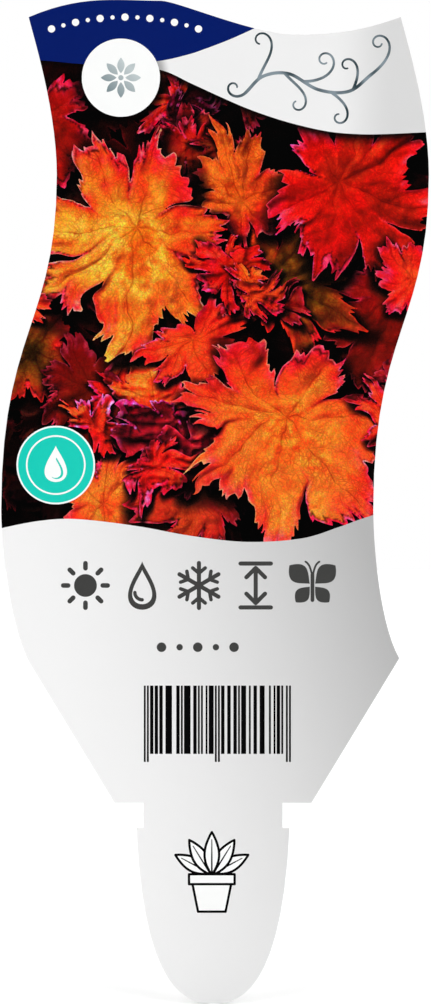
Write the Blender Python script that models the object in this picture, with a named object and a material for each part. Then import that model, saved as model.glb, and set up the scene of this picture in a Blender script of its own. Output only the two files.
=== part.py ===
"""Stick-in plant label: one flat sheet, die cut from white polypropylene.

The label stands upright with its printed face towards -Y. Z = 0 is the soil
line, where the two shoulders come to rest, X = 0 is the centre line of the
stake, and the back face lies in the plane Y = 0.
"""
import bpy
from math import pi

MM = 0.001

# Sheet, in millimetres.
SHEET_THICKNESS = 0.5
OUTLINE_STEPS = 14

# Head: both sides are the same wave, one head width apart.
HEAD_WIDTH = 63.6
TOP_CORNER = (-31.5, 134.3)
HOLLOW = (-26.7, 107.3)
BULGE = (-36.2, 50.1)

# Lengths of the curve handles on the side wave.
CORNER_PULL = (0.7, -3.0)
HOLLOW_PULL_UP = 11.2
HOLLOW_PULL_DOWN = 25.7
BULGE_PULL_UP = 31.1
BULGE_PULL_DOWN = 6.3
FOOT_PULL = (3.3, -5.8)

# Top edge: a crest over the left half and a dip over the right half.
CREST = (-8.9, 137.1)
CREST_PULL_LEFT = 7.1
CREST_PULL_RIGHT = 2.7
DIP = (14.0, 131.3)
DIP_PULL_LEFT = 7.0
DIP_PULL_RIGHT = 8.4
TOP_LEFT_PULL = (9.3, 4.0)
TOP_RIGHT_PULL = (5.5, 1.9)

# Shoulders: straight tapers run in from the foot of each side.
LEFT_FOOT_HEIGHT = 23.8
RIGHT_FOOT_HEIGHT = 24.7
TAPER = 0.607
SHOULDER_HALF_WIDTH = 16.85

# Stake: a short neck, a barb on each side, and a long rounded tongue.
NECK_HALF_WIDTH = 11.9
BARB_HALF_WIDTH = 13.1
BARB_DEPTH = 4.3
STAKE_LENGTH = 34.3
TONGUE_SIDE_PULL = (1.3, 28.5)
TONGUE_TIP_PULL = 4.3

POLYPROPYLENE_WHITE = (0.86, 0.86, 0.86, 1.0)
POLYPROPYLENE_ROUGHNESS = 0.35


def knot(place, arrive=None, leave=None):
    """One outline knot: its place and how far its two handles stand off it."""
    return {"place": place, "arrive": arrive, "leave": leave}


def left_side():
    """Knots down the left side, from under the top corner to the foot."""
    foot = (-SHOULDER_HALF_WIDTH - TAPER * LEFT_FOOT_HEIGHT, LEFT_FOOT_HEIGHT)
    return [
        knot(HOLLOW, (0, HOLLOW_PULL_UP), (0, -HOLLOW_PULL_DOWN)),
        knot(BULGE, (0, BULGE_PULL_UP), (0, -BULGE_PULL_DOWN)),
        knot(foot, (-FOOT_PULL[0], -FOOT_PULL[1]), None),
    ]


def right_side():
    """Knots up the right side, from the foot to just under the top corner."""
    foot = (SHOULDER_HALF_WIDTH + TAPER * RIGHT_FOOT_HEIGHT, RIGHT_FOOT_HEIGHT)
    bulge = (BULGE[0] + HEAD_WIDTH, BULGE[1])
    hollow = (HOLLOW[0] + HEAD_WIDTH, HOLLOW[1])
    return [
        knot(foot, None, (-FOOT_PULL[0], -FOOT_PULL[1])),
        knot(bulge, (0, -BULGE_PULL_DOWN), (0, BULGE_PULL_UP)),
        knot(hollow, (0, -HOLLOW_PULL_DOWN), (0, HOLLOW_PULL_UP)),
    ]


def stake():
    """Knots of the shoulders, neck, barbs and tongue, from left to right."""
    side_x, side_z = TONGUE_SIDE_PULL
    return [
        knot((-SHOULDER_HALF_WIDTH, 0)),
        knot((-NECK_HALF_WIDTH, 0)),
        knot((-NECK_HALF_WIDTH, -BARB_DEPTH)),
        knot((-BARB_HALF_WIDTH, -BARB_DEPTH), None, (side_x, -side_z)),
        knot((0, -STAKE_LENGTH), (-TONGUE_TIP_PULL, 0), (TONGUE_TIP_PULL, 0)),
        knot((BARB_HALF_WIDTH, -BARB_DEPTH), (-side_x, -side_z), None),
        knot((NECK_HALF_WIDTH, -BARB_DEPTH)),
        knot((NECK_HALF_WIDTH, 0)),
        knot((SHOULDER_HALF_WIDTH, 0)),
    ]


def top_edge():
    """Knots along the top, from the right corner to the left corner."""
    right_corner = (TOP_CORNER[0] + HEAD_WIDTH, TOP_CORNER[1])
    corner_x, corner_z = CORNER_PULL
    return [
        knot(right_corner, (corner_x, corner_z), (-TOP_RIGHT_PULL[0], -TOP_RIGHT_PULL[1])),
        knot(DIP, (DIP_PULL_RIGHT, 0), (-DIP_PULL_LEFT, 0)),
        knot(CREST, (CREST_PULL_RIGHT, 0), (-CREST_PULL_LEFT, 0)),
        knot(TOP_CORNER, TOP_LEFT_PULL, (corner_x, corner_z)),
    ]


def offset(place, pull):
    """A handle's own place on the flat drawing, in metres."""
    return ((place[0] + pull[0]) * MM, (place[1] + pull[1]) * MM, 0.0)


def draw_outline(name, knots):
    """Closed flat curve through the knots; a side with no handle is straight."""
    drawing = bpy.data.curves.new(name, "CURVE")
    drawing.dimensions = "2D"
    drawing.fill_mode = "BOTH"
    drawing.resolution_u = OUTLINE_STEPS
    drawing.extrude = SHEET_THICKNESS * MM / 2
    spline = drawing.splines.new("BEZIER")
    spline.bezier_points.add(len(knots) - 1)
    spline.use_cyclic_u = True
    for point, corner in zip(spline.bezier_points, knots):
        place = corner["place"]
        point.co = offset(place, (0, 0))
        point.handle_left_type = "FREE" if corner["arrive"] else "VECTOR"
        point.handle_right_type = "FREE" if corner["leave"] else "VECTOR"
        if corner["arrive"]:
            point.handle_left = offset(place, corner["arrive"])
        if corner["leave"]:
            point.handle_right = offset(place, corner["leave"])
    return drawing


def polypropylene():
    """White polypropylene sheet with a satin rolled surface."""
    material = bpy.data.materials.new("white_polypropylene")
    material.use_nodes = True
    shader = material.node_tree.nodes["Principled BSDF"]
    shader.inputs["Base Color"].default_value = POLYPROPYLENE_WHITE
    shader.inputs["Roughness"].default_value = POLYPROPYLENE_ROUGHNESS
    shader.inputs["Metallic"].default_value = 0.0
    return material


def clear_scene():
    """Start from an empty scene."""
    for item in list(bpy.data.objects):
        bpy.data.objects.remove(item, do_unlink=True)


def build_label():
    """The one piece of the label, stood upright with its back at Y = 0."""
    knots = left_side() + stake() + right_side() + top_edge()
    sheet = bpy.data.objects.new("label_sheet", draw_outline("label_sheet", knots))
    sheet.data.materials.append(polypropylene())
    sheet.rotation_euler = (pi / 2, 0, 0)
    sheet.location = (0, -SHEET_THICKNESS * MM / 2, 0)
    return sheet


clear_scene()
plant_label = bpy.data.collections.new("plant_label")
bpy.context.scene.collection.children.link(plant_label)
plant_label.objects.link(build_label())
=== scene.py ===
from math import ceil, cos, hypot, pi, radians, sin, tau

import bmesh
import bpy
import numpy as np
from mathutils import Matrix, Vector
from mathutils.geometry import delaunay_2d_cdt


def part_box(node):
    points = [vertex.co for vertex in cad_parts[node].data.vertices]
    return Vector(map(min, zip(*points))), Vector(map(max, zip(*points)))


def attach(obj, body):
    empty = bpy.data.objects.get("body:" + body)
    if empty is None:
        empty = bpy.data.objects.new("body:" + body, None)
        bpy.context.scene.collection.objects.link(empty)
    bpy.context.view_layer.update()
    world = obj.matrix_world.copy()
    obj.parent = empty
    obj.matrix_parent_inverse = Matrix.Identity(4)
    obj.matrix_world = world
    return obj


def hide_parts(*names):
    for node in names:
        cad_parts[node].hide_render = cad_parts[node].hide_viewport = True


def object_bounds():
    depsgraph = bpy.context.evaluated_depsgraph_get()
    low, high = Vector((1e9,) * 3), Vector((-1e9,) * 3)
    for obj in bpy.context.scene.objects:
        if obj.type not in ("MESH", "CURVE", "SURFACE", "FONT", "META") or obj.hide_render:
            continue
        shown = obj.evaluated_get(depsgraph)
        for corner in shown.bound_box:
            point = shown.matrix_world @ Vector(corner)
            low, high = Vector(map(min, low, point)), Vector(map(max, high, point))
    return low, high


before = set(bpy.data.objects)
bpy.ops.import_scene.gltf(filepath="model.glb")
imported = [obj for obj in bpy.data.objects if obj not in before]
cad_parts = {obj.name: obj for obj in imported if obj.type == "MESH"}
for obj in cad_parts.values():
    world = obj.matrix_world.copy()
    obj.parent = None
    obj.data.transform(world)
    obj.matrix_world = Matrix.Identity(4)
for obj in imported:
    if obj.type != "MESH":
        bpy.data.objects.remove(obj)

cad_low, cad_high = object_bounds()

# Sheet: white polypropylene, extruded and rolled to a satin skin, then die cut, so
# its edges are square and bare. Everything printed on it lies in its front face, and
# the outline is read from the solid sheet, because the print bleeds off that edge.
MM = 0.001
SHEET_NODE = "label_sheet"
sheet_low, sheet_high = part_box(SHEET_NODE)
FRONT = sheet_low[1]
BACK = sheet_high[1]
FACES_FRONT = -0.9


def sheet_outline(solid_sheet):
    """The front face's edge as an ordered ring of flat points, in millimetres."""
    solid = bmesh.new()
    solid.from_mesh(solid_sheet.data)
    bmesh.ops.remove_doubles(solid, verts=solid.verts, dist=1e-6)
    bmesh.ops.recalc_face_normals(solid, faces=solid.faces)
    neighbours = {}
    for edge in solid.edges:
        facing = [face.normal.y < FACES_FRONT for face in edge.link_faces]
        if facing.count(True) == 1:
            start, end = edge.verts
            neighbours.setdefault(start, []).append(end)
            neighbours.setdefault(end, []).append(start)
    first = next(iter(neighbours))
    ring = [first, neighbours[first][0]]
    while True:
        ahead = [vert for vert in neighbours[ring[-1]] if vert is not ring[-2]]
        if ahead[0] is first:
            break
        ring.append(ahead[0])
    edge_points = np.array([(vert.co.x / MM, vert.co.z / MM) for vert in ring])
    solid.free()
    return edge_points


outline = sheet_outline(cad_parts[SHEET_NODE])


# Curves that part the print. The designer drew them as free waves across the sheet,
# and the inks are trapped under each other there, so no white shows between them.
def wave(knots, steps=10):
    """A smooth Catmull-Rom line through a few knots, with its ends carried straight on."""
    knots = np.array(knots, float)
    ends = np.vstack([2 * knots[0] - knots[1], knots, 2 * knots[-1] - knots[-2]])
    line = []
    for a, b, c, d in zip(ends, ends[1:], ends[2:], ends[3:]):
        for t in np.linspace(0, 1, steps, endpoint=False):
            line.append(0.5 * (2 * b + (c - a) * t + (2 * a - 5 * b + 4 * c - d) * t * t
                               + (3 * b - a - 3 * c + d) * t ** 3))
    line.append(knots[-1])
    return np.array(line)


def circle(x, z, radius, sides=72):
    """A ring of points round a centre."""
    turn = np.arange(sides) * tau / sides
    return np.column_stack([x + radius * np.cos(turn), z + radius * np.sin(turn)])


def inside(x, z, *rings):
    """True where closed rings wind round a point, all counted together."""
    turns = np.zeros(x.shape, int)
    for ring in rings:
        near = (x >= ring[:, 0].min()) & (x <= ring[:, 0].max())
        near = np.flatnonzero(near & (z >= ring[:, 1].min()) & (z <= ring[:, 1].max()))
        if len(near) == 0:
            continue
        px, pz = x[near], z[near]
        for (ax, az), (bx, bz) in zip(ring, np.roll(ring, -1, axis=0)):
            side = (bx - ax) * (pz - az) - (px - ax) * (bz - az)
            turns[near[(az <= pz) & (bz > pz) & (side > 0)]] += 1
            turns[near[(az > pz) & (bz <= pz) & (side < 0)]] -= 1
    return turns != 0


PAST_ENDS = 1000.0


def above(line, x, z):
    """True where a point is higher than a line from left to right, and never past its ends."""
    return z > np.interp(x, line[:, 0], line[:, 1], left=PAST_ENDS, right=PAST_ENDS)


NAVY_EDGE = wave([(-40, 127.3), (-29.4, 126.9), (-22.4, 126.3), (-15.7, 126.3), (-9.2, 126.8), (-4.6, 127.8),
                  (-1.5, 128.8), (3.4, 130.7), (8.2, 132.9)])
BAND_EDGE = wave([(-15.7, 126.3), (-8.7, 125.2), (-3.6, 122.9), (1.2, 120.7), (5.8, 118.7), (10.6, 117.0),
                  (15.2, 115.7), (20.0, 114.7), (24.6, 114.3), (29.4, 114.3), (40, 114.8)])
PICTURE_FOOT = wave([(-40, 46.0), (-35.9, 47.0), (-29.6, 48.2), (-23.2, 48.5), (-13.0, 47.3), (-3.6, 45.6),
                     (5.8, 44.6), (15.2, 45.2), (21.7, 47.2), (26.5, 48.9), (40, 53.0)])

# The two discs that lie on the picture: the centre's place and the radius.
DISC = (-15.74, 123.94, 6.68)
BADGE = (-26.87, 57.74, 6.72)


def in_picture(x, z):
    """True in the field that holds the foliage."""
    bare = np.hypot(x - DISC[0], z - DISC[1]) > DISC[2]
    bare &= np.hypot(x - BADGE[0], z - BADGE[1]) > BADGE[2]
    return bare & ~above(NAVY_EDGE, x, z) & ~above(BAND_EDGE, x, z) & above(PICTURE_FOOT, x, z)


# Foliage picture: a four-colour offset print of autumn-toned leaves with deep lobes,
# seen from above. It is an own design: each leaf is drawn by formula, the lowest first,
# and its folds, its light and its veins are worked out on the leaf itself.

# A leaf's lobes stand at these turns from its heading, and lobe number 0 is its tip. No
# tooth reaches further from the stalk than 1.45 of the leaf's size.
LOBES = 7
LOBE_ANGLES = np.radians([-180, -138, -94, -47, 0, 47, 94, 138, 180])
LOBE_PHASES = np.array([-3.5, -3, -2, -1, 0, 1, 2, 3, 3.5])
LOBE_LENGTHS = np.array([0.7, 0.88, 0.96, 1.0, 0.96, 0.88, 0.7])
LOBE_TAPER = 0.2
FULL_REACH = 1.45
SIDE_LOBES = 3.6
TOOTH, SIDE_LOBE_SHARE, TOOTH_SHARE = 0.13, 1.3, 0.7

# The leaf's blade swells and waves, and a young one crumples: how far, and over what
# size, in millimetres. A leaf of full size swells in full, and a smaller one less.
SWELL, SWELL_SIZE = 4.2, 8
WAVE, WAVE_SIZE = 1.1, 2.4
CRUMPLE, CRUMPLE_SIZE = 3.4, 3.7
MEAN_SWELL, FULL_SIZE = 2.6, 16

# Its relief: furrows over the ribs in millimetres, then quilting between side ribs, and
# the folds and crimps of a lobe's margin, with heights and steps as parts of its size.
FURROW_DEPTH, FURROW_WIDTH = 0.3, 0.8
QUILT_SLANT, QUILT_STEP, QUILT_HEIGHT = 1.2, 0.17, 1 / 260
FOLDS, FOLD_HEIGHT = 1.6, 0.05
CRIMPS, CRIMP_HEIGHT = 4.3, 0.014

# The heights and sizes of a young leaf's creases and of every leaf's swells, in
# millimetres, and the deepest shade and the brightest light on them.
CREASES = ((1.5, 3.4), (0.7, 1.5))
SWELLS = ((2.0, 6.5), (0.3, 1.4))
DEEPEST, BRIGHTEST = 0.3, 1.35

# Its margin: the flush and the roll as parts of its size, the runs and ripples of the roll
# as parts of a lobe, and the roll's shadow and the lit edge in millimetres.
FLUSH_WIDTH = 0.14
ROLL_WIDTH, CRUSHED_ROLL = 0.075, 0.1
ROLL_RUN, ROLL_RIPPLE = 0.87, 0.17
ROLL_SHADOW_OFF, ROLL_SHADOW_WIDTH = 0.3, 0.5
LIT_EDGE, LIT_RUN = 0.42, 0.13

# The underside is crinkled, and pleated too on a full-grown leaf: the crinkles' size in
# millimetres, the share of pleats, their width as a part of a lobe, and their length.
CRINKLE_SIZE = 0.75
PLEATED, PLEAT_WIDTH, PLEAT_LENGTH = 0.55, 0.05, 1.75

# Each kind has five colours from the stalk to the margin, two of the curled underside
# and one of the lit edge.
LEAF_INKS = {
    "amber": ("#f09c3c", "#fec66a", "#fca448", "#f87438", "#f23a50", "#e42450", "#ff96a0", "#ffe0c0"),
    "orange": ("#f08636", "#fea650", "#fa8a42", "#f8683a", "#f03c4c", "#de205c", "#ff8aa0", "#ffd2b4"),
    "coral": ("#f27c34", "#f87440", "#f4502e", "#f03430", "#ee3c70", "#da1c60", "#ff86a4", "#ffb4ac"),
    "red": ("#a4340e", "#bc3812", "#cc2c16", "#cc1c1a", "#d02a4c", "#c01850", "#ff80a4", "#ff8094"),
    "bronze": ("#54400e", "#8c5e20", "#9e5c20", "#aa3c18", "#c82c22", "#9e1c30", "#d8505e", "#dc5236"),
    "wine": ("#440806", "#620e0a", "#780c0c", "#8a0f12", "#a61920", "#800c2a", "#c03460", "#b82c3c"),
    "dusk": ("#1a0304", "#2c0607", "#3c0709", "#460a0d", "#5c0c12", "#40061a", "#6c1634", "#7a1a24"),
    "frill": ("#6c0a30", "#a81440", "#6a0a2c", "#c0204c", "#e44c80", "#c41c74", "#ff9cd0", "#ff94bc"),
}
INK_STOPS = (0.0, 0.36, 0.62, 0.84, 1.08)

# How far the colour has gone along these stops: at the stalk, and what is added at the
# margin, on the side away from the tip, and by broad and close patches of a size in
# millimetres. The close patches also mottle it, green and blue more than red.
RIPE, RIPER_OUTWARDS, RIPER_BEHIND = 0.14, 0.74, 0.38
BROAD_PATCHES, BROAD_SIZE = 0.95, 6.0
CLOSE_PATCHES, CLOSE_SIZE = 0.36, 1.1
MOTTLE, MOTTLE_TINT = 0.36, (0.3, 1.0, 1.2)

# The picture's light comes from the upper left, and its slopes are taken over a step of
# 0.35 mm. What it strikes glows, and shade dulls green and blue more than red.
LIGHT_FROM = (-0.55, 0.83)
LIGHT_STEP = 0.35
GLOW, GLOW_SHARE = np.array([1.0, 0.74, 0.5]), 0.9
SHADE_TINT = np.array([0.8, 1.2, 1.2])


def tone(code):
    """A hex colour's red, green and blue as parts from 0 to 1, as a screen shows them."""
    return np.array([int(code[at:at + 2], 16) for at in (1, 3, 5)]) / 255


def chance(i, j, seed):
    """A repeatable number from 0 to 1 for each cell of a grid."""
    value = np.sin(i * 127.1 + j * 311.7 + seed * 74.7) * 43758.5453
    return value - np.floor(value)


def patches(x, z, size, seed):
    """Smooth random patches of a size in millimetres, from 0 to 1."""
    x, z = x / size, z / size
    i, j = np.floor(x), np.floor(z)
    u, v = x - i, z - j
    u, v = u * u * (3 - 2 * u), v * v * (3 - 2 * v)
    low_side = chance(i, j, seed) * (1 - u) + chance(i + 1, j, seed) * u
    high_side = chance(i, j + 1, seed) * (1 - u) + chance(i + 1, j + 1, seed) * u
    return low_side * (1 - v) + high_side * v


def cloud(x, z, size, seed):
    """Patches with finer patches laid over them."""
    return (patches(x, z, size, seed) + 0.55 * patches(x, z, size / 2, seed + 7)
            + 0.3 * patches(x, z, size / 4, seed + 14)) / 1.85


def creases(x, z, size, seed):
    """Patches whose middle level is folded into sharp creases, from 0 to 1."""
    return 1 - np.abs(2 * patches(x, z, size, seed) - 1)


def saw(t):
    """A row of saw teeth, one for each whole number, from -0.5 to 0.5."""
    part = t - np.floor(t)
    return np.minimum(part / 0.62, (1 - part) / 0.38) - 0.5


class Leaf:
    """One printed leaf: where its stalk joins, how big it is and how it lies."""

    def __init__(self, x, z, size, heading, ink, seed, squash=1.0, lean=0.0, light=1.0,
                 crush=0.0, depth=0.24, curl=0.52, relief=0.34, fade=0.16):
        self.x, self.z, self.size, self.seed = x, z, size, seed
        self.heading, self.lean, self.squash = radians(heading), radians(lean), squash
        self.light, self.crush, self.curl, self.relief, self.fade = light, crush, curl, relief, fade
        self.inks = np.array([tone(code) for code in LEAF_INKS[ink]])
        own = np.random.default_rng(seed)
        lengths = LOBE_LENGTHS * own.uniform(0.84, 1.08, LOBES)
        self.lengths = np.concatenate([[lengths[0] * 0.8], lengths, [lengths[-1] * 0.8]])
        self.depths = depth * own.uniform(0.4, 1.4, LOBES + 2)
        self.start = own.uniform(0, 100)

    def near(self, x, z):
        """True within the square that the leaf can fill."""
        far = self.size * FULL_REACH
        return (np.abs(x - self.x) < far) & (np.abs(z - self.z) < far)

    def buckled(self, x, z, seed):
        """How far the leaf's swells and crumples carry a point aside, about their mean."""
        swell = SWELL * patches(x, z, SWELL_SIZE, seed) + WAVE * patches(x, z, WAVE_SIZE, seed + 1)
        swell = swell - MEAN_SWELL
        crumple = CRUMPLE * self.crush * (patches(x, z, CRUMPLE_SIZE, seed + 2) - 0.5)
        return min(1, self.size / FULL_SIZE) * swell + crumple

    def polar(self, x, z):
        """Distance from the stalk and lobe number of a point, on the leaf laid flat."""
        aside, up = self.buckled(x, z, self.seed + 31), self.buckled(x, z, self.seed + 41)
        x, z = x - self.x + aside, z - self.z + up
        along = (x * cos(self.lean) + z * sin(self.lean)) / self.squash
        across = z * cos(self.lean) - x * sin(self.lean)
        x = along * cos(self.lean) - across * sin(self.lean)
        z = along * sin(self.lean) + across * cos(self.lean)
        ahead = x * cos(self.heading) + z * sin(self.heading)
        turn = np.arctan2(z * cos(self.heading) - x * sin(self.heading), ahead)
        return np.hypot(x, z), np.interp(turn, LOBE_ANGLES, LOBE_PHASES)

    def ripple(self, lobe, size, seed):
        """Smooth random steps round the leaf, from 0 to 1; the size is a part of a lobe."""
        return patches(lobe, 0 * lobe + self.start, size, self.seed + seed)

    def reach(self, lobe, toothed=True):
        """How far the leaf's edge lies from the stalk, at a lobe number."""
        off_tip = 2 * np.abs(lobe - np.round(lobe))
        depth = self.depths[np.clip(np.floor(lobe).astype(int) + 4, 0, LOBES + 1)]
        narrowing = 1 - LOBE_TAPER * off_tip - depth * off_tip ** 4
        edge = np.interp(lobe, LOBE_PHASES, self.lengths) * narrowing
        if toothed:
            jumble, fine = self.ripple(lobe, 0.43, 0), self.ripple(lobe, 0.19, 1)
            side_lobes = saw(lobe * SIDE_LOBES + 0.7 * jumble + self.start) * (0.5 + jumble)
            teeth = saw(lobe * (4 + self.size / 3) + 1.2 * fine + self.start) * (0.4 + fine)
            edge = edge * (1 + TOOTH * (SIDE_LOBE_SHARE * side_lobes + TOOTH_SHARE * teeth))
        return edge * self.size

    def height(self, x, z):
        """The leaf's folds and puckers, in millimetres, for its light and shade."""
        r, lobe = self.polar(x, z)
        out = np.clip(r / self.reach(lobe, False), 0, 1.3)
        turn = (lobe - np.round(lobe)) * tau / LOBES
        across = np.abs(r * np.sin(turn))
        furrow = -FURROW_DEPTH * np.exp(-(across / FURROW_WIDTH) ** 2) * np.clip(r / 5, 0, 1)
        slanted = r * np.cos(turn) - QUILT_SLANT * across + 1.6 * patches(x, z, 3, self.seed + 8)
        quilting = np.abs(np.sin(pi * slanted / (QUILT_STEP * self.size))) * np.clip(across, 0, 1)
        quilting = quilting * self.size * QUILT_HEIGHT
        fold = np.sin(lobe * tau * FOLDS + self.start + 3 * patches(x, z, 6, self.seed + 15))
        crimp = np.sin(lobe * tau * CRIMPS + 2 * self.start + 4 * patches(x, z, 3, self.seed + 16))
        waves = self.size * (FOLD_HEIGHT * out ** 3 * fold + CRIMP_HEIGHT * out ** 5 * crimp)
        crumples = sum(high * creases(x, z, size, self.seed + seed)
                       for seed, (high, size) in enumerate(CREASES, 63))
        swells = sum(high * cloud(x, z, size, self.seed + seed)
                     for seed, (high, size) in enumerate(SWELLS, 61))
        return furrow + quilting + waves + self.crush * crumples + swells

    def shade(self, x, z):
        """The light on the leaf: 1 on the level, more where it faces the light."""
        lit_x, lit_z = x + LIGHT_FROM[0] * LIGHT_STEP, z + LIGHT_FROM[1] * LIGHT_STEP
        slope = (self.height(x, z) - self.height(lit_x, lit_z)) / LIGHT_STEP
        over = ((x - self.x) * cos(self.start) + (z - self.z) * sin(self.start)) / (self.size * self.squash)
        light = np.clip(1 + self.relief * slope, DEEPEST, BRIGHTEST)
        return light * (1 + self.fade * np.clip(over, -1, 1))

    def colour(self, x, z):
        """The printed colour at points of this leaf, as parts from 0 to 1."""
        r, lobe = self.polar(x, z)
        edge = self.reach(lobe)
        broad, close = cloud(x, z, BROAD_SIZE, self.seed + 11), cloud(x, z, CLOSE_SIZE, self.seed + 23)
        behind = ((self.x - x) * cos(self.heading) + (self.z - z) * sin(self.heading)) / self.size
        at = RIPE + RIPER_OUTWARDS * r / edge + RIPER_BEHIND * behind
        at = at + (BROAD_PATCHES + self.crush) * (broad - 0.5) + CLOSE_PATCHES * (close - 0.5)
        shown = np.column_stack([np.interp(at, INK_STOPS, self.inks[:5, part]) for part in range(3)])
        shade = self.shade(x, z)[:, None]
        shown = shown * np.clip(shade, 0, 1) ** SHADE_TINT
        shown = shown + (GLOW - shown) * GLOW_SHARE * np.clip(shade - 1, 0, 0.5)
        shown = shown * (1 + MOTTLE * (close[:, None] - 0.5) * MOTTLE_TINT)
        return self.light * self.margin(shown, shade, broad, x, z, r, lobe, edge - r)

    def margin(self, shown, shade, broad, x, z, r, lobe, inward):
        """Flush the margin, roll the underside over it in places and light its edge."""
        deep, pale, lit = self.inks[5:]
        pleated = PLEATED * (1 - 0.7 * self.crush)
        crinkle = pleated * patches(lobe, r * PLEAT_WIDTH / PLEAT_LENGTH, PLEAT_WIDTH, self.seed + 73)
        crinkle = crinkle + (1 - pleated) * patches(x, z, CRINKLE_SIZE, self.seed + 74)
        rim = deep + (pale - deep) * np.clip(crinkle * 2.0 - 0.55, 0, 1)[:, None]
        rim = rim * np.clip(0.45 + 0.6 * shade, 0.4, 1.2)
        flush = np.clip(1.25 - inward / (FLUSH_WIDTH * self.size), 0, 1) * np.clip(3.6 * broad - 1.2, 0, 1)
        flush = flush * np.clip(0.25 + 1.2 * crinkle, 0, 1)
        shown = shown + (rim - shown) * 0.75 * flush[:, None]
        width = self.size * (ROLL_WIDTH + CRUSHED_ROLL * self.crush)
        width = width * np.clip((self.ripple(lobe, ROLL_RUN, 71) - 1 + self.curl) * 3.2, 0, 1)
        width = width * (0.3 + 1.2 * self.ripple(lobe, ROLL_RIPPLE, 72))
        crease = np.clip(1 - np.abs(inward - width - ROLL_SHADOW_OFF) / ROLL_SHADOW_WIDTH, 0, 1)
        crease = crease * np.clip(width / 0.8, 0, 1)
        shown = shown * (1 - 0.55 * crease[:, None])
        rolled = np.clip((width - inward) / 0.3, 0, 1)[:, None]
        shown = shown + (rim - shown) * rolled
        glint = np.clip(2.4 * self.ripple(lobe, LIT_RUN, 5) - 0.6, 0, 1)
        glint = np.clip(1 - inward / LIT_EDGE, 0, 1) * glint
        return shown + (lit - shown) * 0.7 * (1 - 0.6 * self.crush) * glint[:, None]

    def plans(self, x, z, rib):
        """Flat millimetres on the leaf, then millimetres along and across one rib."""
        r, lobe = self.polar(x, z)
        turn, off = lobe * tau / LOBES, (lobe - rib) * tau / LOBES
        return np.column_stack([r * np.cos(turn), r * np.sin(turn), r * np.cos(off), r * np.sin(off)])


LAYOUT_SEED = 11
draw = np.random.default_rng(LAYOUT_SEED)
leaves = []


def lay(x, z, sizes, inks, seed, flattest, lights, **lie):
    """Lay one leaf with its stalk at a place, and draw the rest of how it lies."""
    leaves.append(Leaf(x, z, draw.uniform(*sizes), draw.uniform(0, 360), inks[draw.integers(len(inks))], seed,
                       squash=draw.uniform(0.5, flattest), lean=draw.uniform(0, 180),
                       light=draw.uniform(*lights), **lie))


def scatter(count, sizes, inks, seed, lights, **lie):
    """Strew leaves over the whole ground."""
    for number in range(count):
        lay(draw.uniform(-40, 42), draw.uniform(40, 132), sizes, inks, seed + number, 1, lights, **lie)


def tuft(x, z, wide, high, count, sizes, inks, seed, lights):
    """A tuft of young leaves, still crumpled, that stand up one before the other."""
    for number, level in enumerate(np.sort(draw.uniform(-1, 1, count))[::-1]):
        aside = draw.uniform(-1, 1) * (1 - level * level) ** 0.5
        lay(x + wide * aside, z + high * level, sizes, inks, seed + number, 0.9, lights,
            crush=1.0, depth=0.4, curl=0.6, relief=0.5, fade=0.3)


scatter(42, (8, 14), ("dusk", "wine"), 100, (0.5, 1.0))
scatter(18, (7, 13), ("wine", "red", "bronze", "wine"), 200, (0.35, 0.75), crush=0.4)
tuft(-28, 96, 9, 9, 9, (7, 12), ("wine", "red", "red"), 500, (0.35, 0.7))
tuft(27, 60, 9, 10, 8, (7, 12), ("wine", "red", "frill"), 520, (0.35, 0.75))
tuft(2, 116, 13, 6, 9, (7, 12), ("red", "coral", "frill", "red"), 640, (0.7, 1.05))

# A listed leaf is given as its stalk's place, its size, heading, inks and seed, then how much it is squashed,
# along what heading, and its light.
leaves += [
    Leaf(-31, 117, 15, 250, "red", 1, 0.85, 30, 0.92),
    Leaf(-32, 77, 15, 200, "bronze", 12, 0.8, 100, 1.2),
    Leaf(-21, 71, 13, 260, "red", 17, 0.75, 20, 0.8),
    Leaf(30, 85, 17, 300, "red", 13, 0.75, 60, 0.85),
    Leaf(11, 89, 17, 20, "bronze", 21, 0.8, 60, 1.2),
    Leaf(-18, 51, 17, 300, "orange", 2, 0.8, 10),
    Leaf(26, 50, 13, 330, "red", 22, 0.7, 40, 0.7),
    Leaf(4, 104, 13, 60, "orange", 31, 0.8, 20, 0.9, crush=0.3),
    Leaf(-3, 53, 13, 240, "coral", 35, 0.8, 30, 0.85, crush=0.3),
]
tuft(-9, 66, 12, 9, 10, (7, 12), ("frill", "red", "frill", "wine", "coral"), 560, (0.8, 1.3))
leaves += [
    Leaf(22, 106, 20, 345, "red", 5, 0.9, 60, 1.08),
    Leaf(-13, 97, 23, 215, "amber", 4, 0.9, 140),
    Leaf(33, 90, 10, 330, "coral", 33, 0.75, 60, crush=0.4),
    Leaf(-3, 79, 11, 285, "coral", 34, 0.75, 120, crush=0.4),
    Leaf(-33, 88, 9, 200, "orange", 32, 0.8, 80, crush=0.3),
]
tuft(8, 90, 7, 5, 5, (6, 10), ("red", "frill", "coral"), 580, (0.8, 1.25))
leaves += [
    Leaf(12, 66, 24, 265, "orange", 6, 0.88, 20),
]
tuft(32, 69, 4, 6, 3, (6, 10), ("coral", "frill", "red"), 600, (0.75, 1.05))
tuft(-33, 103, 3, 6, 3, (6, 9), ("frill", "red"), 620, (0.75, 1.05))


def top_leaf(x, z):
    """The number of the uppermost leaf over each point, or -1 on bare ground."""
    found = np.full(x.shape, -1)
    for number in range(len(leaves) - 1, -1, -1):
        leaf = leaves[number]
        free = np.flatnonzero((found < 0) & leaf.near(x, z))
        r, lobe = leaf.polar(x[free], z[free])
        found[free[r < leaf.reach(lobe)]] = number
    return found


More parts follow.
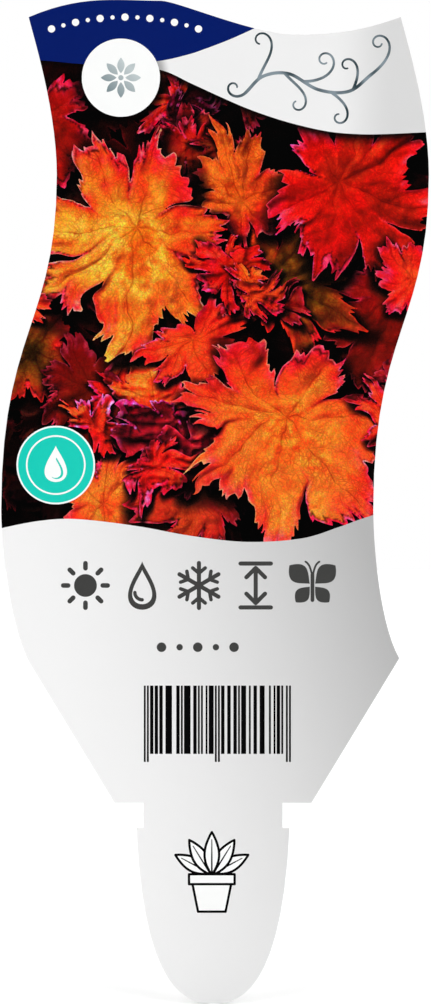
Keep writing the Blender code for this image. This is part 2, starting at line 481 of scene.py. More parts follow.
# Between the leaves is near black with a red gleam, and each leaf throws a soft shadow to
# the lower right. The whole picture is then printed hard, as on any such label.
SOIL = np.array([0.03, 0.01, 0.02])
SOIL_GLEAM = np.array([0.36, 0.024, 0.03])
DROP_SHADE = 0.8
SHADOW_FALLS = (0.45, -0.9)
CONTRAST = 2.0
GAIN = 1.28


def foliage_colour(x, z, number):
    """Printed colour of the picture at points whose uppermost leaf is known."""
    shown = SOIL + SOIL_GLEAM * np.clip(cloud(x, z, 5, 99) - 0.45, 0, 1)[:, None]
    for leaf_number in np.unique(number[number >= 0]):
        here = number == leaf_number
        shown[here] = leaves[leaf_number].colour(x[here], z[here])
    for above_number, leaf in enumerate(leaves):
        lift, blur = 0.05 * leaf.size + 0.3, 0.13 * leaf.size + 0.8
        sx, sz = x - SHADOW_FALLS[0] * lift, z - SHADOW_FALLS[1] * lift
        here = np.flatnonzero((number < above_number) & leaf.near(sx, sz))
        r, lobe = leaf.polar(sx[here], sz[here])
        under = np.clip(1 - (r - leaf.reach(lobe, False)) / blur, 0, 1)
        shown[here] *= (1 - DROP_SHADE * under ** 1.3)[:, None]
    return GAIN * np.clip(shown, 0, 1) ** CONTRAST


SHADOW_REACH, SHADOW_DEPTH = 1.5, 0.9
NAVY_TRAP = 0.6


def printed_shadow(x, z):
    """The soft shadow that the picture carries along the band and round the white disc."""
    under_band = np.interp(x, BAND_EDGE[:, 0], BAND_EDGE[:, 1], left=PAST_ENDS) - z
    under_navy = np.interp(x, NAVY_EDGE[:, 0], NAVY_EDGE[:, 1], right=PAST_ENDS) + NAVY_TRAP - z
    off_disc = np.hypot(x - DISC[0], z - DISC[1]) - DISC[2]
    off = np.minimum(np.minimum(under_band, under_navy), off_disc)
    return 1 - SHADOW_DEPTH * np.exp(-(np.clip(off, 0, None) / SHADOW_REACH) ** 2)


# Inks and varnish: offset inks under a gloss varnish that is rolled on and hardened by
# lamps. It dries almost smooth, with a faint orange peel, so it gives a soft sheen that
# the roll leaves a little uneven. Peel, its height and smears are in millimetres.
RESIN_IOR = 1.49
PEEL, PEEL_HEIGHT = 0.9, 0.02
SMEAR = 14.0
GLOSS_FROM, GLOSS_TO = 0.15, 0.26
inks = []
marks = []

# The places of a Mix node's inputs for colours, which have no names of their own.
FACTOR, FIRST, SECOND = 0, 6, 7


def linear(shown):
    """Colour parts as a screen shows them, made linear, as the renderer takes them."""
    shown = np.asarray(shown)
    return np.where(shown <= 0.04045, shown / 12.92, ((shown + 0.055) / 1.055) ** 2.4)


def paint(code):
    """A hex colour as a colour socket takes it."""
    return (*linear(tone(code)), 1.0)


def node(tree, kind, inputs=None, **settings):
    """Add a node; an input takes a value, a socket or a node, which gives its first output."""
    made = tree.nodes.new("ShaderNode" + kind)
    for name, value in settings.items():
        setattr(made, name, value)
    for name, value in (inputs or {}).items():
        if isinstance(value, bpy.types.Node):
            value = value.outputs[0]
        if isinstance(value, bpy.types.NodeSocket):
            tree.links.new(value, made.inputs[name])
        else:
            made.inputs[name].default_value = value
    return made


def new_ink(name):
    """A material for one ink: its nodes, the place of a point, and its number on the plate."""
    material = bpy.data.materials.new(name)
    material.use_nodes = True
    material.node_tree.nodes.clear()
    inks.append(material)
    where = node(material.node_tree, "TexCoord").outputs["Object"]
    return material.node_tree, where, len(inks) - 1


def varnish(tree, where, colour):
    """Lay the varnish over an ink's colour and join it to the material's output."""
    skin = node(tree, "TexNoise", {"Vector": where, "Scale": 1 / (PEEL * MM), "Detail": 2.0})
    smear = node(tree, "TexNoise", {"Vector": where, "Scale": 1 / (SMEAR * MM), "Detail": 3.0})
    gloss = node(tree, "MapRange", {"Value": smear, "To Min": GLOSS_FROM, "To Max": GLOSS_TO})
    bump = node(tree, "Bump", {"Height": skin, "Strength": 0.05, "Distance": PEEL_HEIGHT * MM})
    shader = node(tree, "BsdfPrincipled",
                  {"Base Color": colour, "Roughness": gloss, "IOR": RESIN_IOR, "Normal": bump})
    node(tree, "OutputMaterial", {"Surface": shader})


def film(tree, where, code, amount, size):
    """A solid ink's colour, a little uneven in patches where its film is thin or thick."""
    thick = node(tree, "TexNoise", {"Vector": where, "Scale": 1 / (size * MM), "Detail": 4.0})
    level = node(tree, "MapRange", {"Value": thick, "To Min": 1 - amount, "To Max": 1 + amount})
    return node(tree, "VectorMath", {0: linear(tone(code)), "Scale": level}, operation="SCALE")


def solid_ink(name, code, amount, size=0.7):
    """A varnished solid ink's number on the plate."""
    tree, where, number = new_ink(name)
    varnish(tree, where, film(tree, where, code, amount, size))
    return number


def mark(ink, *rings):
    """Print the space between closed rings in an ink, over what is there."""
    marks.append((ink, rings))


# Bare sheet: the back and the die-cut edges carry no ink. Extruded polypropylene with
# white pigment is a little milky and satin, and the roll leaves fine lines along the web.
WEB_LINES, WEB_STRETCH = 0.5, 0.03
SKIN_GRAIN, SKIN_HEIGHT = 0.25, 0.03
SATIN_FROM, SATIN_TO = 0.38, 0.5
tree, where, BARE = new_ink("white_polypropylene_extruded")
along_web = node(tree, "Mapping", {"Vector": where, "Scale": (1, 1, WEB_STRETCH)})
lines = node(tree, "TexNoise", {"Vector": along_web, "Scale": 1 / (WEB_LINES * MM), "Detail": 3.0})
grain = node(tree, "TexNoise", {"Vector": where, "Scale": 1 / (SKIN_GRAIN * MM), "Detail": 2.0})
skin = node(tree, "Math", {0: grain, 1: 0.6, 2: lines}, operation="MULTIPLY_ADD")
bump = node(tree, "Bump", {"Height": skin, "Strength": 0.12, "Distance": SKIN_HEIGHT * MM})
satin = node(tree, "MapRange", {"Value": lines, "To Min": SATIN_FROM, "To Max": SATIN_TO})
milky = film(tree, where, "#f1f1ee", amount=0.012, size=6)
shader = node(tree, "BsdfPrincipled",
              {"Base Color": milky, "Roughness": satin, "IOR": RESIN_IOR, "Normal": bump})
node(tree, "OutputMaterial", {"Surface": shader})

# Picture: the leaves are printed in four colours, and their veins are drawn by the nodes
# on flat millimetres that follow each leaf. The print's screen has dots of 0.15 mm; its
# grain is drawn twice as coarse, so that it shows.
SCREEN_GRAIN = 0.3
VEIN_SWERVE = 0.9
CROOKS_PER_MM, FAINT_PER_MM = 0.7, 0.35
SIDE_VEIN_STEP, SIDE_VEIN_SLANT = 3.1, 1.1
tree, where, PICTURE = new_ink("foliage_four_colour_print")
printed = node(tree, "Attribute", attribute_name="ink").outputs["Color"]
flat = node(tree, "Attribute", attribute_name="leaf_plan").outputs["Vector"]
ribs = node(tree, "Attribute", attribute_name="rib_plan").outputs["Vector"]
crook = node(tree, "TexNoise", {"Vector": flat, "Scale": CROOKS_PER_MM, "Detail": 2.0}).outputs["Color"]
swerve = node(tree, "VectorMath", {0: crook, 1: [VEIN_SWERVE] * 3, 2: [-VEIN_SWERVE / 2] * 3},
              operation="MULTIPLY_ADD")
bent = node(tree, "VectorMath", {0: flat, 1: swerve}, operation="ADD")
bent_ribs = node(tree, "VectorMath", {0: ribs, 1: swerve}, operation="ADD")
rib_parts = node(tree, "SeparateXYZ", {"Vector": bent_ribs}).outputs
off_rib = node(tree, "Math", {0: rib_parts["Y"]}, operation="ABSOLUTE")
slanted = node(tree, "Math", {0: off_rib, 1: -SIDE_VEIN_SLANT, 2: rib_parts["X"]}, operation="MULTIPLY_ADD")
off_side_vein = node(tree, "Math", {0: slanted, 1: SIDE_VEIN_STEP / 2}, operation="PINGPONG")

# Each row is the distance from a vein, where its ink starts to fade, where it ends, and
# how strong it is. Two nets of fine veins add a row each, from their cells' size, their
# lines' width, both in millimetres, and how strong they are.
NETS = ((2.2, 0.26, 0.6), (0.85, 0.2, 0.55))
vein_rows = [(off_rib, 0.05, 0.3, 0.95), (off_side_vein, 0.04, 0.2, 0.75)]
for cell, width, strength in NETS:
    net = node(tree, "TexVoronoi", {"Vector": bent, "Scale": 1 / cell}, feature="DISTANCE_TO_EDGE")
    vein_rows.append((net, 0.0, width / cell, strength))
veins = 0.0
for distance, full, gone, strength in vein_rows:
    vein = node(tree, "MapRange",
                {"Value": distance, "From Min": full, "From Max": gone, "To Min": strength, "To Max": 0.0},
                interpolation_type="SMOOTHSTEP")
    veins = node(tree, "Math", {0: veins, 1: vein}, operation="MAXIMUM")
faint = node(tree, "TexNoise", {"Vector": flat, "Scale": FAINT_PER_MM, "Detail": 3.0})
faint = node(tree, "MapRange", {"Value": faint, "From Min": 0.3, "From Max": 0.65, "To Min": 0.25})
veins = node(tree, "Math", {0: veins, 1: faint}, operation="MULTIPLY")
veined = node(tree, "Mix", {FACTOR: veins, FIRST: printed, SECOND: paint("#b27264")},
              data_type="RGBA", blend_type="MULTIPLY").outputs[2]

# The grain changes green and blue more than red, so that it shows in the reds.
GRAIN_GAIN, GRAIN_BASE = (0.95, 2.4, 2.4), (0.5, -0.2, -0.2)
speck = node(tree, "TexNoise", {"Vector": where, "Scale": 1 / (SCREEN_GRAIN * MM), "Detail": 2.0,
                                "Roughness": 0.6}).outputs["Color"]
speck = node(tree, "VectorMath", {0: speck, 1: GRAIN_GAIN, 2: GRAIN_BASE}, operation="MULTIPLY_ADD")
grained = node(tree, "VectorMath", {0: veined, 1: speck}, operation="MULTIPLY")
varnish(tree, where, grained)


# Navy field: a spot colour over the top left corner, dense and even. A row of plain dots
# stands on it along an arc, left out of the ink, so they show the clean white sheet
# through the varnish.
def around(x, z, heading, r):
    """The point at a heading in degrees and a distance from a centre."""
    return x + r * cos(radians(heading)), z + r * sin(radians(heading))


NAVY = solid_ink("navy_spot_ink", "#011a67", amount=0.05)
WHITE = solid_ink("unprinted_white_under_varnish", "#fcfdfc", amount=0.008, size=3)
ARC_X, ARC_Z, ARC_RADIUS = -15.04, 94.3, 40.0
DOT_STEP = 3.05
DOT_SIZES = (0.62, 0.36)
DOTS = 13
for number in range(DOTS):
    heading = 90 + (number - (DOTS - 1) / 2) * DOT_STEP
    mark(WHITE, circle(*around(ARC_X, ARC_Z, heading, ARC_RADIUS), DOT_SIZES[number % 2], 32))

# Grey fields: the band and the lower panel are one grey that deepens to the right, in a
# fine screen, as if the sheet bent away. The disc throws a printed shadow on the band.
# Each deepens from one distance to another, and the panel's are taken on a slant.
BAND_DEEPENS = (20.0, 31.1)
DISC_SHADOW, DISC_SHADE = 2.0, 0.45
tree, where, BAND = new_ink("pale_grey_screen_band")
across = node(tree, "SeparateXYZ", {"Vector": where}).outputs["X"]
away = node(tree, "MapRange", {"Value": across, "From Min": BAND_DEEPENS[0] * MM,
                               "From Max": BAND_DEEPENS[1] * MM}, interpolation_type="SMOOTHSTEP")
grey = node(tree, "Mix", {FACTOR: away, FIRST: paint("#f0f0f0"), SECOND: paint("#dadada")},
            data_type="RGBA").outputs[2]
off_disc = node(tree, "VectorMath", {0: where, 1: (DISC[0] * MM, FRONT, DISC[1] * MM)},
                operation="DISTANCE").outputs["Value"]
lit = node(tree, "MapRange",
           {"Value": off_disc, "From Min": DISC[2] * MM, "From Max": (DISC[2] + DISC_SHADOW) * MM,
            "To Min": DISC_SHADE, "To Max": 1.0}, interpolation_type="SMOOTHSTEP")
shaded = node(tree, "VectorMath", {0: grey, "Scale": lit}, operation="SCALE")
varnish(tree, where, shaded)

PANEL_SLANT, PANEL_CURVE = 0.32, 1.55
PANEL_DEEPENS = (-22.66, 40.54)
tree, where, PANEL = new_ink("pale_grey_screen_panel")
slant = node(tree, "VectorMath", {0: where, 1: (1, 0, PANEL_SLANT)}, operation="DOT_PRODUCT").outputs["Value"]
away = node(tree, "MapRange", {"Value": slant, "From Min": PANEL_DEEPENS[0] * MM,
                               "From Max": PANEL_DEEPENS[1] * MM})
away = node(tree, "Math", {0: away, 1: PANEL_CURVE}, operation="POWER")
grey = node(tree, "Mix", {FACTOR: away, FIRST: paint("#f4f4f4"), SECOND: paint("#b5b5b5")},
            data_type="RGBA")
varnish(tree, where, grey.outputs[2])


# Disc and badge: a white disc left out of the picture, with a rosette in a grey vignette
# that sweeps from dark to pale, so it looks like silver, and a disc in flat bright teal
# with a white rim, a fine white ring and a drop of water.
def petal(x, z, heading, length, width, fullness=1.0):
    """A pointed petal's ring, from its root outwards and back."""
    t = np.linspace(0, 1, 15)
    half = width / 2 * np.sin(pi * t ** fullness) ** 0.9
    along = np.concatenate([t, t[-2:0:-1]]) * length
    aside = np.concatenate([-half, half[-2:0:-1]])
    c, s = cos(radians(heading)), sin(radians(heading))
    return np.column_stack([x + along * c - aside * s, z + along * s + aside * c])


def drop(x, z, width, height):
    """A drop of water's ring, with its point up."""
    t = np.arange(48) * tau / 48
    return np.column_stack([x - width * 0.62 * np.sin(t) * np.sin(t / 2) ** 1.5, z + height / 2 * np.cos(t)])


SWEEP = 8.57
PETALS = 8
PETAL_ROOT, PETAL_LENGTH, PETAL_WIDTH = 0.75, 2.7, 1.25
HEART_RADIUS = 0.45
tree, where, ROSETTE = new_ink("silver_grey_vignette")
across = node(tree, "VectorMath", {0: where, 1: (1 / (SWEEP * MM), 0, 1 / (SWEEP * MM))},
              operation="DOT_PRODUCT").outputs["Value"]
sweep = node(tree, "Math", {0: across, 1: 1.0}, operation="PINGPONG")
silver = node(tree, "Mix", {FACTOR: sweep, FIRST: paint("#6f8287"), SECOND: paint("#c3cdcf")},
              data_type="RGBA")
varnish(tree, where, silver.outputs[2])
mark(WHITE, circle(*DISC, 96))
for number in range(PETALS):
    heading = 360 * number / PETALS
    root = around(DISC[0], DISC[1], heading, PETAL_ROOT)
    mark(ROSETTE, petal(*root, heading, PETAL_LENGTH, PETAL_WIDTH))
mark(ROSETTE, circle(DISC[0], DISC[1], HEART_RADIUS, 24))

TEAL = solid_ink("teal_spot_ink", "#14ceba", amount=0.03)
BADGE_X, BADGE_Z, BADGE_RADIUS = BADGE
BADGE_RIM = 0.28
RING_OUTSIDE, RING_INSIDE = 5.1, 4.82
mark(WHITE, circle(*BADGE, 96))
mark(TEAL, circle(BADGE_X, BADGE_Z, BADGE_RADIUS - BADGE_RIM, 96))
ring_outside, ring_inside = (circle(BADGE_X, BADGE_Z, radius, 80) for radius in (RING_OUTSIDE, RING_INSIDE))
mark(WHITE, ring_outside, ring_inside[::-1])

# Each row is a drop's ink, its place off the badge's middle, its width and its height.
DROPS = [(WHITE, 0, 0.2, 4.4, 6.2), (TEAL, 0.15, -0.55, 2.6, 3.7), (WHITE, -0.1, -0.5, 2.3, 3.4)]
for ink, aside, up, width, height in DROPS:
    mark(ink, drop(BADGE_X + aside, BADGE_Z + up, width, height))


# Tendrils: a climbing plant's tendrils in silver grey, drawn with a pen that swells and
# thins, and whose ink pools, so the line is dark in places and pale in others. Each one
# winds tighter along its length, as real tendrils do.
def stroke(line, width, end_width=None):
    """A drawn line's two sides as one ring, with round ends."""
    line = np.array(line, float)
    ahead = np.gradient(line, axis=0)
    ahead /= np.hypot(*ahead.T)[:, None]
    side = np.column_stack([-ahead[:, 1], ahead[:, 0]])
    half = np.linspace(width, width if end_width is None else end_width, len(line)) / 2
    bend = np.linspace(0, pi, 7)[1:-1]
    first_cap = [line[0] + half[0] * (np.cos(a) * side[0] - np.sin(a) * ahead[0]) for a in bend]
    last_cap = [line[-1] + half[-1] * (-np.cos(a) * side[-1] + np.sin(a) * ahead[-1]) for a in bend]
    return np.vstack([line - side * half[:, None], last_cap, (line + side * half[:, None])[::-1], first_cap])


def tendril(x, z, heading, length, bend, curl, steps=60):
    """A line whose turning grows from a bend to a curl, in degrees a millimetre."""
    s = np.linspace(0, length, steps)
    turn = radians(heading) + radians(bend) * s + radians(curl - bend) * s ** 3 / (3 * length ** 2)
    step = length / (steps - 1)
    run = np.cumsum(np.column_stack([np.cos(turn), np.sin(turn)])[:-1] * step, axis=0)
    return np.vstack([(x, z), (x, z) + run])


POOLS = 3.5
tree, where, SILVER = new_ink("silver_grey_line_ink")
pooled = node(tree, "TexNoise", {"Vector": where, "Scale": 1 / (POOLS * MM), "Detail": 1.0})
pooled = node(tree, "MapRange", {"Value": pooled, "From Min": 0.4, "From Max": 0.62})
silver = node(tree, "Mix", {FACTOR: pooled, FIRST: paint("#304147"), SECOND: paint("#84929a")},
              data_type="RGBA")
varnish(tree, where, silver.outputs[2])
STEM_WIDTH, TENDRIL_WIDTH, TENDRIL_TIP = 0.56, 0.52, 0.3
STEM = wave([(5.6, 121.4), (8.6, 124.2), (13.0, 124.6), (18.0, 121.9), (23.2, 121.6), (27.2, 124.6)], 12)
stem_heading = np.degrees(np.arctan2(*np.gradient(STEM, axis=0).T[::-1]))
mark(SILVER, stroke(STEM, STEM_WIDTH))

# Each row is the stem's point, the turn away from the stem in degrees, the length in
# millimetres, and the bend and the curl.
TENDRILS = [(0, 180, 6.4, -26, -100), (9, 30, 12.0, -4, 80), (22, -42, 10.5, 4, -92), (30, 34, 12.5, 6, 86),
            (41, -28, 9.5, -4, -98), (50, 38, 9.0, 4, 100), (60, 0, 12.5, 4, 90)]
for at, aside, length, bend, curl in TENDRILS:
    line = tendril(*STEM[at], stem_heading[at] + aside, length, bend, curl)
    mark(SILVER, stroke(line, TENDRIL_WIDTH, TENDRIL_TIP))

# Care signs: five plain pictures in dark grey, which stand for sun, water, frost, height
# and insects, then a row of dots. They are solid ink, soft and even, on the pale panel.
SIGN_Z, SIGN_STEP, SIGN_HIGH, SIGN_LINE = 37.15, 9.7, 8.3, 0.72
SUN_X, WATER_X, FROST_X, HEIGHT_X, INSECT_X = (-21.8 + SIGN_STEP * number for number in range(5))
SUN_RADIUS, RAY_FROM, RAY_TO, RAY_WIDTH = 1.95, 2.95, 3.8, 0.8
GLINT_DOWN, GLINT_RADIUS, GLINT_WIDTH = 1.2, 1.25, 0.6
FROST_ARM, FORK_AT, FORK_LENGTH, FORK_WIDTH = 3.85, 2.1, 1.4, 0.62
SHAFT_HALF, LEVEL_HALF, BARB_OFF, BARB_LENGTH = 3.0, 2.6, 0.75, 2.26
BODY_FOOT, BODY_TOP, BODY_WIDTH, FEELER_WIDTH = -2.5, 1.9, 0.66, 0.34
GREY = solid_ink("dark_grey_ink", "#424241", amount=0.04)


def spoke(x, z, heading, near, far, width):
    """A straight stroke that points away from a centre."""
    return stroke([around(x, z, heading, r) for r in np.linspace(near, far, 3)], width)


def mirrored(rings, x):
    """The same rings and their mirror images across an upright line."""
    return rings + [(ring * (-1, 1) + (2 * x, 0))[::-1] for ring in rings]


mark(GREY, circle(SUN_X, SIGN_Z, SUN_RADIUS, 48))
for heading in range(0, 360, 45):
    mark(GREY, spoke(SUN_X, SIGN_Z, heading, RAY_FROM, RAY_TO, RAY_WIDTH))

mark(GREY, drop(WATER_X, SIGN_Z, 5.6, SIGN_HIGH), drop(WATER_X, SIGN_Z - 0.25, 3.9, 5.9)[::-1])
mark(GREY, stroke(circle(WATER_X, SIGN_Z - GLINT_DOWN, GLINT_RADIUS, 40)[20:31], GLINT_WIDTH))

for heading in range(30, 360, 60):
    mark(GREY, spoke(FROST_X, SIGN_Z, heading, 0.0, FROST_ARM, SIGN_LINE))
    fork = around(FROST_X, SIGN_Z, heading, FORK_AT)
    for aside in (-50, 50):
        mark(GREY, spoke(*fork, heading + aside, 0.0, FORK_LENGTH, FORK_WIDTH))

mark(GREY, spoke(HEIGHT_X, SIGN_Z, 90, -SHAFT_HALF, SHAFT_HALF, SIGN_LINE))
for up in (-1, 1):
    line_z = SIGN_Z + up * (SIGN_HIGH / 2 - 0.4)
    mark(GREY, spoke(HEIGHT_X, line_z, 0, -LEVEL_HALF, LEVEL_HALF, SIGN_LINE))
    for aside in (-45, 45):
        mark(GREY, spoke(HEIGHT_X, line_z - BARB_OFF * up, -90 * up + aside, 0.0, BARB_LENGTH, SIGN_LINE))

wing_x, wing_z = INSECT_X + 0.45, SIGN_Z + 0.1
wings = [petal(wing_x, wing_z + 0.2, 42, 4.7, 3.3, 1.2), petal(wing_x, wing_z - 0.3, -48, 3.6, 2.5, 1.15)]
mark(GREY, *mirrored(wings, INSECT_X))
mark(GREY, spoke(INSECT_X, SIGN_Z, 90, BODY_FOOT, BODY_TOP, BODY_WIDTH))
feeler = tendril(INSECT_X + 0.1, SIGN_Z + BODY_TOP, 78, 2.5, -4, -60, 16)
mark(GREY, *mirrored([stroke(feeler, FEELER_WIDTH)], INSECT_X))

ROW_X, ROW_Z, ROW_STEP, ROW_DOTS = -2.6, 26.6, 3.1, (0.82, 0.55, 0.82, 0.55, 0.82)
for number, radius in enumerate(ROW_DOTS):
    mark(GREY, circle(ROW_X + ROW_STEP * (number - 2), ROW_Z, radius, 36))

# Bars: upright bars of mixed widths in black, as on any price label. The widths are a
# seeded draw, so they stand for no number, and no figures are under them. The ink
# spreads a little past each bar's two sides, and is dense, with a few thinner places.
BLACK = solid_ink("black_ink", "#040405", amount=0.1)
MODULE = 0.264
INK_SPREAD = 0.035
BAR_LEFT, BAR_TOP, BAR_FOOT, GUARD_FOOT = -11.79, 20.05, 8.36, 6.99
HALF_STRIPES, HALF_MODULES = 24, 42
GUARD, MIDDLE = [1, 1, 1], [1, 1, 1, 1, 1]
BAR_SEED = 120
draw = np.random.default_rng(BAR_SEED)
wider = draw.integers(HALF_STRIPES, size=(2, HALF_MODULES - HALF_STRIPES))
first_half, last_half = (1 + np.bincount(half, minlength=HALF_STRIPES) for half in wider)
stripes = np.concatenate([GUARD, first_half, MIDDLE, last_half, GUARD])
stripe_ends = BAR_LEFT + MODULE * np.cumsum(stripes)
LONG_BARS = (0, 2, 28, 30, 56, 58)
for number in range(0, len(stripes), 2):
    left = stripe_ends[number] - MODULE * stripes[number] - INK_SPREAD
    right = stripe_ends[number] + INK_SPREAD
    foot = GUARD_FOOT if number in LONG_BARS else BAR_FOOT
    mark(BLACK, np.array([(left, foot), (right, foot), (right, BAR_TOP), (left, BAR_TOP)]))

# Tongue: a pot plant in black line with its paper white, on the part that goes into the
# soil, where a grower puts a small picture.
POT_X, RIM_TOP, RIM_FOOT, POT_FOOT = -0.2, -12.2, -13.9, -18.6
RIM_HALF, POT_HALF, FOOT_HALF = 3.9, 3.3, 2.35
OUTLINE_WIDTH, RIB_WIDTH, RIB_TIP = 0.42, 0.3, 0.16

# Each row is where a leaf's root lies from the middle of the rim's top, its heading in
# degrees, its length and its width.
SPROUT = [(0.4, 0.2, 28, 6.6, 2.4), (-0.4, 0.2, 152, 6.6, 2.4), (0.2, 0, 58, 6.9, 2.5),
          (-0.2, 0, 122, 6.9, 2.5), (0, 0, 90, 7.2, 2.5)]


def pot_ring(foot, foot_half, top, top_half):
    """The four corners of the pot or of its rim."""
    return np.array([(-foot_half, foot), (foot_half, foot), (top_half, top), (-top_half, top)]) + (POT_X, 0)


def outlined(ring):
    """White paper inside a black line that follows a ring."""
    mark(WHITE, ring)
    for start, end in zip(ring, np.roll(ring, -1, axis=0)):
        mark(BLACK, stroke([start, (start + end) / 2, end], OUTLINE_WIDTH))


for aside, up, heading, length, width in SPROUT:
    root = POT_X + aside, RIM_TOP + up
    outlined(petal(*root, heading, length, width, 0.9))
    rib = [around(*root, heading, part * length) for part in (0, 0.5, 0.82)]
    mark(BLACK, stroke(rib, RIB_WIDTH, RIB_TIP))
outlined(pot_ring(POT_FOOT, FOOT_HALF, RIM_FOOT, POT_HALF))
outlined(pot_ring(RIM_FOOT, RIM_HALF, RIM_TOP, RIM_HALF))

# Printing plate: the front face, cut along every line where one ink meets the next. No
# operator fits faces to the drawing's lines, so Delaunay triangles fill it: small in the
# picture, where the colour changes all over, and as large as they can be elsewhere.

# The grid's step is in millimetres, and points nearer than SAME_POINT count as one.
GRID = 0.3
ROW = GRID * 3 ** 0.5 / 2
SAME_POINT = 0.001
plate_points = []
plate_lines = []


def finely(line, closed=True):
    """The same line with points no further apart than the grid's step."""
    ends = np.roll(line, -1, axis=0) if closed else line[1:]
    fine = []
    for start, end in zip(line, ends):
        parts = max(1, ceil(hypot(*(end - start)) / GRID))
        fine += [start + (end - start) * part / parts for part in range(parts)]
    if not closed:
        fine.append(line[-1])
    return np.array(fine)


def cut(line, closed=True):
    """Make a line of the drawing an edge of the plate's triangles."""
    first = len(plate_points)
    plate_points.extend(map(tuple, line))
    last = len(plate_points) - 1
    plate_lines.extend((at, at + 1) for at in range(first, last))
    if closed:
        plate_lines.append((last, first))


def triangles():
    """Delaunay triangles of the plate, with its lines kept as edges."""
    done = delaunay_2d_cdt([Vector(point) for point in plate_points], plate_lines, [], 0, SAME_POINT, False)
    return np.array([tuple(point) for point in done[0]]), np.array(done[1]), np.array(done[2])


cut(finely(outline))
for line in (NAVY_EDGE, BAND_EDGE, PICTURE_FOOT):
    cut(finely(line, closed=False), closed=False)
for ink, rings in marks:
    for ring in rings:
        cut(ring)

foot, top = PICTURE_FOOT[:, 1].min(), NAVY_EDGE[:, 1].max()
left, right = outline[:, 0].min(), outline[:, 0].max()
rows, columns = np.arange(foot, top, ROW), np.arange(left, right, GRID)
grid_x = np.tile(columns, len(rows)) + np.repeat(np.arange(len(rows)) % 2, len(columns)) * GRID / 2
grid_z = np.repeat(rows, len(columns))
kept = in_picture(grid_x, grid_z) & inside(grid_x, grid_z, outline)
plate_points.extend(zip(grid_x[kept], grid_z[kept]))

# Leaf edges: a first mesh shows which of its edges run from one leaf to another, halving
# finds where each is crossed, and the crossings of a triangle are joined and cut as well.
HALVINGS = 6
points, edges, faces = triangles()
leaf_at = top_leaf(points[:, 0], points[:, 1])
middle = points[edges].mean(axis=1)
parted = (leaf_at[edges[:, 0]] != leaf_at[edges[:, 1]]) & in_picture(middle[:, 0], middle[:, 1])
start, end = edges[parted].T
near_side, far_side = points[start], points[end]
for halving in range(HALVINGS):
    middle = (near_side + far_side) / 2
    same = (top_leaf(middle[:, 0], middle[:, 1]) == leaf_at[start])[:, None]
    near_side, far_side = np.where(same, middle, near_side), np.where(same, far_side, middle)
crossing = {}
for a, b, spot in zip(start, end, (near_side + far_side) / 2):
    crossing[min(a, b), max(a, b)] = len(plate_points)
    plate_points.append(tuple(spot))
for face in faces:
    a, b, c = sorted(face)
    met = [crossing[pair] for pair in ((a, b), (b, c), (a, c)) if pair in crossing]
    if len(met) == 2:
        plate_lines.append(tuple(met))
    elif len(met) == 3:
        plate_points.append(tuple(points[face].mean(axis=0)))
        plate_lines.extend((corner, len(plate_points) - 1) for corner in met)
points, edges, faces = triangles()
middle = points[faces].mean(axis=1)
faces = faces[inside(middle[:, 0], middle[:, 1], outline)]


# Label: the plate is the front, and its rim is carried back through the sheet to a
# plain back, so that print and sheet are one piece, as they are on the real label.
def placed(name, data):
    """A new object in the scene, made of the given data."""
    made = bpy.data.objects.new(name, data)
    bpy.context.scene.collection.objects.link(made)
    return made


mesh = bpy.data.meshes.new("printed_label")
mesh.from_pydata([(x * MM, FRONT, z * MM) for x, z in points], [], faces.tolist())
body = bmesh.new()
body.from_mesh(mesh)
bmesh.ops.delete(body, geom=[vert for vert in body.verts if not vert.link_faces], context="VERTS")
rim = [edge for edge in body.edges if edge.is_boundary]
walls = bmesh.ops.extrude_edge_only(body, edges=rim)["geom"]
for vert in [part for part in walls if isinstance(part, bmesh.types.BMVert)]:
    vert.co.y = BACK
back_rim = [part for part in walls if isinstance(part, bmesh.types.BMEdge) and part.is_boundary]
bmesh.ops.triangle_fill(body, use_beauty=True, use_dissolve=False, edges=back_rim)
bmesh.ops.recalc_face_normals(body, faces=body.faces)
body.to_mesh(mesh)
body.free()
label = placed("printed_label", mesh)
for ink in inks:
    mesh.materials.append(ink)


def read(data, name, width):
    """One property of all a mesh's points or faces, as rows of numbers."""
    flat_row = np.empty(len(data) * width)
    data.foreach_get(name, flat_row)
    return flat_row.reshape(-1, width)


# Inking: each face takes the ink that the drawing has at its middle. In the picture the
# corners of a face take the printed colour of its own leaf, so leaf edges stay sharp.
centre = read(mesh.polygons, "center", 3)[:, ::2] / MM
on_front = np.flatnonzero(read(mesh.polygons, "normal", 3)[:, 1] < FACES_FRONT)
x, z = centre[on_front].T
ink_of = np.full(len(on_front), PANEL)
ink_of[above(BAND_EDGE, x, z)] = BAND
ink_of[above(NAVY_EDGE, x, z)] = NAVY
ink_of[in_picture(x, z)] = PICTURE
for ink, rings in marks:
    ink_of[inside(x, z, *rings)] = ink
ink_number = np.full(len(mesh.polygons), BARE)
ink_number[on_front] = ink_of
mesh.polygons.foreach_set("material_index", ink_number)

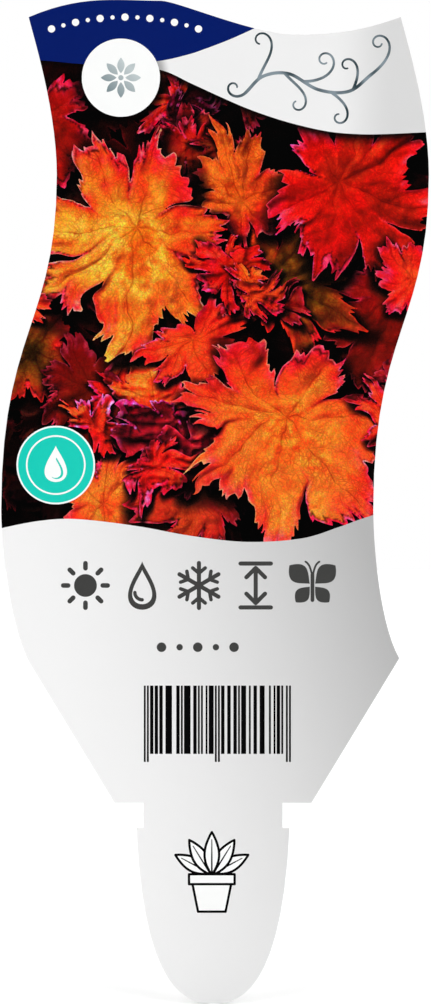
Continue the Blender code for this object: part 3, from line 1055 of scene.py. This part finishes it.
pictured = on_front[ink_of == PICTURE]
x, z = centre[pictured].T
leaf_under = top_leaf(x, z)
rib_under = np.zeros(len(pictured))
for number in np.unique(leaf_under[leaf_under >= 0]):
    here = leaf_under == number
    rib_under[here] = np.round(leaves[number].polar(x[here], z[here])[1])
corners = (3 * pictured[:, None] + (0, 1, 2)).ravel()
corner_point = read(mesh.loops, "vertex_index", 1)[corners, 0]
keys = np.column_stack([corner_point, np.repeat(leaf_under, 3), np.repeat(rib_under, 3)]).astype(int)
keys, key_of = np.unique(keys, axis=0, return_inverse=True)
key_of = key_of.ravel()
x, z = (read(mesh.vertices, "co", 3)[keys[:, 0]][:, ::2] / MM).T
shown = np.clip(foliage_colour(x, z, keys[:, 1]) * printed_shadow(x, z)[:, None], 0, 1)
plans = np.column_stack([x, z, x, z])
for number in np.unique(keys[:, 1][keys[:, 1] >= 0]):
    here = keys[:, 1] == number
    plans[here] = leaves[number].plans(x[here], z[here], keys[here, 2])


def write(name, kind, part, blank, rows):
    """Give the picture's corners a property by keys, and all other corners a blank one."""
    layer = np.full((len(mesh.loops), len(blank)), blank, float)
    layer[corners, :rows.shape[1]] = rows[key_of]
    mesh.attributes.new(name, kind, "CORNER").data.foreach_set(part, layer.ravel())


# The leaves lie this far apart in the plan, so that no two share a pattern of veins.
LEAF_SPACING = 10.0
write("ink", "FLOAT_COLOR", "color", (1, 1, 1, 1), linear(shown))
leaf_plans = np.column_stack([plans[:, :2], LEAF_SPACING * keys[:, 1]])
write("leaf_plan", "FLOAT_VECTOR", "vector", (0, 0, 0), leaf_plans)
write("rib_plan", "FLOAT_VECTOR", "vector", (0, 0, 0), plans[:, 2:])
mesh.update()

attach(label, "root")
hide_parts(SHEET_NODE)

# Stage: a pale floor under the tip of the tongue, in matt paint that shows a soft shadow
# and no gloss, two soft lamps in front, two behind and one above, and a camera level with
# the label's middle, straight before its printed face.
FLOOR_HALF = 3.0
under_tip = Matrix.Translation((0, 0, cad_low[2]))
floor_body = bmesh.new()
bmesh.ops.create_grid(floor_body, x_segments=1, y_segments=1, size=FLOOR_HALF, matrix=under_tip)
floor_mesh = bpy.data.meshes.new("floor")
floor_body.to_mesh(floor_mesh)
floor_body.free()
floor = placed("floor", floor_mesh)
chalk = bpy.data.materials.new("matt_white_paint")
chalk.use_nodes = True
coat = chalk.node_tree.nodes["Principled BSDF"]
for name, value in (("Base Color", paint("#f2f2f2")), ("Roughness", 0.9), ("Specular IOR Level", 0.1)):
    coat.inputs[name].default_value = value
floor_mesh.materials.append(chalk)
floor.visible_glossy = False

# Each row is a lamp's name, its turn round the label and its height in degrees, and its
# strength.
LAMPS = [("front_left", -45, 40, 1.15), ("front_right", 45, 40, 1.15),
         ("back_left", -142, 42, 0.75), ("back_right", 142, 42, 0.95), ("top", 0, 88, 1.7)]
LAMP_SPREAD = radians(40)
for name, azimuth, elevation, strength in LAMPS:
    lamp = bpy.data.lights.new(name, "SUN")
    lamp.energy = strength
    lamp.angle = LAMP_SPREAD
    level = cos(radians(elevation))
    aim = Vector((sin(radians(azimuth)) * level, -cos(radians(azimuth)) * level, sin(radians(elevation))))
    placed(name, lamp).rotation_euler = aim.to_track_quat("Z", "Y").to_euler()

# The studio is white where the camera sees it, but gives only a little light.
SEEN, AMBIENT = 1.0, 0.03
world = bpy.data.worlds.new("studio")
bpy.context.scene.world = world
world.use_nodes = True
tree = world.node_tree
tree.nodes.clear()
seen = node(tree, "LightPath").outputs["Is Camera Ray"]
glow = node(tree, "MapRange", {"Value": seen, "To Min": AMBIENT, "To Max": SEEN})
sky = node(tree, "Background", {"Color": (1, 1, 1, 1), "Strength": glow})
node(tree, "OutputWorld", {"Surface": sky})

LENS, SENSOR = 100.0, 36.0
FRAME_HIGH = 171.6 * MM
VIEW_X, VIEW_Z = 0.43 * MM, 51.42 * MM
camera_data = bpy.data.cameras.new("camera")
camera_data.lens = LENS
camera_data.sensor_width = SENSOR
camera = placed("camera", camera_data)
camera.location = (VIEW_X, FRONT - FRAME_HIGH * LENS / SENSOR, VIEW_Z)
camera.rotation_euler = (pi / 2, 0, 0)
bpy.context.scene.camera = camera
bpy.context.scene.view_settings.view_transform = "Standard"
